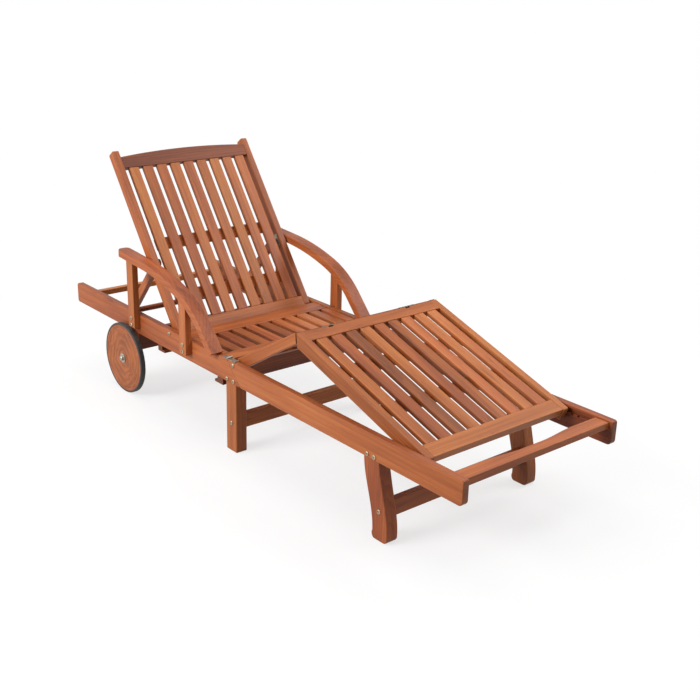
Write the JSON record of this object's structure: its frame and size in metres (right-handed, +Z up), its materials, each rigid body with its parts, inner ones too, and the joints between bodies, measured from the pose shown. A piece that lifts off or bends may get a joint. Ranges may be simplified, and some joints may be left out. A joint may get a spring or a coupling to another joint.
{
  "type": "chaise longue",
  "caption": "Slatted hardwood chaise longue: back raised on a prop over notched racks, raised knee panels, curved arms, folding foot half, wheels at the head end.",
  "frame": {"origin": "on the floor under the middle of the overall length and width", "axes": "+Z up; +Y along the length towards the head and the wheels; +X across, towards the left hand of a person lying on it"},
  "size_m": [0.68, 2, 0.8248],
  "materials": {
    "hardwood": "oiled",
    "steel": "zinc plated",
    "tyre": "matt"
  },
  "bodies": {
    "rear_frame": {"arm_left": "hardwood", "arm_right": "hardwood", "axle_blocks": "hardwood", "axle_board": "hardwood", "axle_caps": "steel", "fold_hinge_rear_leaves": "steel", "front_post_left": "hardwood", "front_post_right": "hardwood", "head_bar": "hardwood", "mid_cross_rail": "hardwood", "mid_leg_left": "hardwood", "mid_leg_right": "hardwood", "mid_stretcher": "hardwood", "prop_racks": "hardwood", "rear_frame_bolts": "steel", "rear_post_left": "hardwood", "rear_post_right": "hardwood", "rear_rail_left": "hardwood", "rear_rail_right": "hardwood", "seat_front_board": "hardwood", "seat_rear_board": "hardwood", "seat_slats": "hardwood", "stub_axles": "steel", "under_bearer_front": "hardwood", "under_bearer_rear": "hardwood"},
    "backrest": {"back_battens": "hardwood", "back_bottom_rail": "hardwood", "back_crest_rail": "hardwood", "back_slats": "hardwood", "back_stile_left": "hardwood", "back_stile_right": "hardwood", "prop_brackets": "steel"},
    "back_prop": {"prop_foot_bar": "hardwood", "prop_legs": "hardwood"},
    "front_frame": {"fold_hinge_front_leaves": "steel", "foot_bar": "hardwood", "front_frame_bolts": "steel", "front_leg_left": "hardwood", "front_leg_right": "hardwood", "front_rail_left": "hardwood", "front_rail_right": "hardwood", "front_stretcher": "hardwood"},
    "thigh_panel": {"knee_hinge_thigh_leaves": "steel", "thigh_knee_rail": "hardwood", "thigh_lower_rail": "hardwood", "thigh_slats": "hardwood", "thigh_stile_left": "hardwood", "thigh_stile_right": "hardwood"},
    "calf_panel": {"calf_battens": "hardwood", "calf_foot_pins": "steel", "calf_foot_rail": "hardwood", "calf_knee_rail": "hardwood", "calf_slats": "hardwood", "calf_stile_left": "hardwood", "calf_stile_right": "hardwood", "knee_hinge_calf_leaves": "steel"},
    "wheel_right": {"wheel_disc_right": "hardwood", "wheel_tyre_right": "tyre"},
    "wheel_left": {"wheel_disc_left": "hardwood", "wheel_tyre_left": "tyre"}
  },
  "joints": [
    {"name": "back_recline", "type": "hinge", "parent": "rear_frame", "child": "backrest", "pos_m": [0, 0.346, 0.286], "axis": [1, 0, 0], "range_deg": [-53.5, 11.5]},
    {"name": "prop_swing", "type": "hinge", "parent": "backrest", "child": "back_prop", "pos_m": [0, 0.51536, 0.4779], "axis": [1, 0, 0], "range_deg": [-22, 101.9]},
    {"name": "frame_fold", "type": "hinge", "parent": "rear_frame", "child": "front_frame", "pos_m": [0, 0.01, 0.304], "axis": [-1, 0, 0], "range_deg": [0, 100]},
    {"name": "thigh_raise", "type": "hinge", "parent": "front_frame", "child": "thigh_panel", "pos_m": [0, -0.0245, 0.29], "axis": [1, 0, 0], "range_deg": [0, 30]},
    {"name": "knee_bend", "type": "hinge", "parent": "thigh_panel", "child": "calf_panel", "pos_m": [0, -0.30192, 0.46749], "axis": [1, 0, 0], "range_deg": [-47.4, 0]},
    {"name": "wheel_roll_right", "type": "hinge", "parent": "rear_frame", "child": "wheel_right", "pos_m": [-0.319, 0.617, 0.125], "axis": [1, 0, 0], "continuous": true},
    {"name": "wheel_roll_left", "type": "hinge", "parent": "rear_frame", "child": "wheel_left", "pos_m": [0.319, 0.617, 0.125], "axis": [1, 0, 0], "continuous": true}
  ],
  "couplings": [
    {"joint": "prop_swing", "follows": "back_recline", "ratio": -1.9015},
    {"joint": "knee_bend", "follows": "thigh_raise", "ratio": -1.5776}
  ]
}
